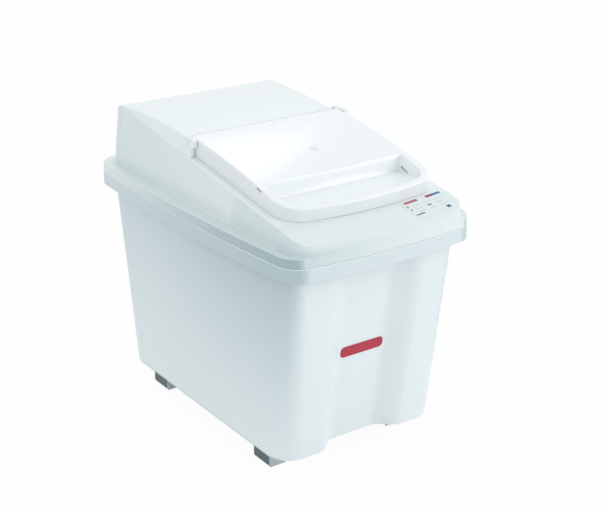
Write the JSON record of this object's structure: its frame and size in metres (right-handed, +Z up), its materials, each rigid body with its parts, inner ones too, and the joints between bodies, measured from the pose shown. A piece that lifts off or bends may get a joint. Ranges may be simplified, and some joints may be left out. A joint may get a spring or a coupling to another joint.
{
  "type": "rolling flour bin",
  "caption": "Free-standing tapered plastic bin on swivel castors, with a lift-off hood and a hinged flap over its mouth, for keeping flour or other dry food.",
  "frame": {"origin": "on the floor, under the middle of the bin's plan", "axes": "+Z up, the bin's length along Y with its front at -Y, +X to the right as seen from the front"},
  "size_m": [0.378, 0.628, 0.5185],
  "materials": {
    "tub_plastic": "satin",
    "hood_plastic": "milky gloss",
    "flap_plastic": "clear gloss",
    "steel": "zinc plated",
    "castor_nylon": "moulded",
    "wheel_core": "moulded",
    "tread": "matt",
    "label_sheet": "printed film",
    "badge_plate": "printed film"
  },
  "bodies": {
    "tub": {"tub": "tub_plastic", "front_badge": "badge_plate", "front_left_castor_socket": "castor_nylon", "front_left_castor_stem": "steel", "front_right_castor_socket": "castor_nylon", "front_right_castor_stem": "steel", "rear_left_castor_socket": "castor_nylon", "rear_left_castor_stem": "steel", "rear_right_castor_socket": "castor_nylon", "rear_right_castor_stem": "steel"},
    "hood": {"hood": "hood_plastic", "date_label": "label_sheet", "left_hinge_pin": "steel", "right_hinge_pin": "steel"},
    "flap": {"flap": "flap_plastic"},
    "front_left_castor": {"front_left_castor_fork": "castor_nylon", "front_left_castor_axle": "steel"},
    "front_left_wheel": {"front_left_castor_wheel": "wheel_core", "front_left_castor_tyre": "tread"},
    "front_right_castor": {"front_right_castor_fork": "castor_nylon", "front_right_castor_axle": "steel"},
    "front_right_wheel": {"front_right_castor_wheel": "wheel_core", "front_right_castor_tyre": "tread"},
    "rear_left_castor": {"rear_left_castor_fork": "castor_nylon", "rear_left_castor_axle": "steel"},
    "rear_left_wheel": {"rear_left_castor_wheel": "wheel_core", "rear_left_castor_tyre": "tread"},
    "rear_right_castor": {"rear_right_castor_fork": "castor_nylon", "rear_right_castor_axle": "steel"},
    "rear_right_wheel": {"rear_right_castor_wheel": "wheel_core", "rear_right_castor_tyre": "tread"}
  },
  "joints": [
    {"name": "hood_lift", "type": "slide", "parent": "tub", "child": "hood", "axis": [0, 0, 1], "range_m": [0, 0.15]},
    {"name": "flap_hinge", "type": "hinge", "parent": "hood", "child": "flap", "pos_m": [0, 0.022, 0.505], "axis": [-1, 0, 0], "range_deg": [0, 110]},
    {"name": "front_left_castor_swivel", "type": "hinge", "parent": "tub", "child": "front_left_castor", "pos_m": [-0.12, -0.166, 0.0392], "axis": [0, 0, 1], "continuous": true},
    {"name": "front_left_wheel_spin", "type": "hinge", "parent": "front_left_castor", "child": "front_left_wheel", "pos_m": [-0.12, -0.156, 0.019], "axis": [1, 0, 0], "continuous": true},
    {"name": "front_right_castor_swivel", "type": "hinge", "parent": "tub", "child": "front_right_castor", "pos_m": [0.12, -0.166, 0.0392], "axis": [0, 0, 1], "continuous": true},
    {"name": "front_right_wheel_spin", "type": "hinge", "parent": "front_right_castor", "child": "front_right_wheel", "pos_m": [0.12, -0.156, 0.019], "axis": [1, 0, 0], "continuous": true},
    {"name": "rear_left_castor_swivel", "type": "hinge", "parent": "tub", "child": "rear_left_castor", "pos_m": [-0.12, 0.166, 0.0392], "axis": [0, 0, 1], "continuous": true},
    {"name": "rear_left_wheel_spin", "type": "hinge", "parent": "rear_left_castor", "child": "rear_left_wheel", "pos_m": [-0.12, 0.176, 0.019], "axis": [1, 0, 0], "continuous": true},
    {"name": "rear_right_castor_swivel", "type": "hinge", "parent": "tub", "child": "rear_right_castor", "pos_m": [0.12, 0.166, 0.0392], "axis": [0, 0, 1], "continuous": true},
    {"name": "rear_right_wheel_spin", "type": "hinge", "parent": "rear_right_castor", "child": "rear_right_wheel", "pos_m": [0.12, 0.176, 0.019], "axis": [1, 0, 0], "continuous": true}
  ]
}
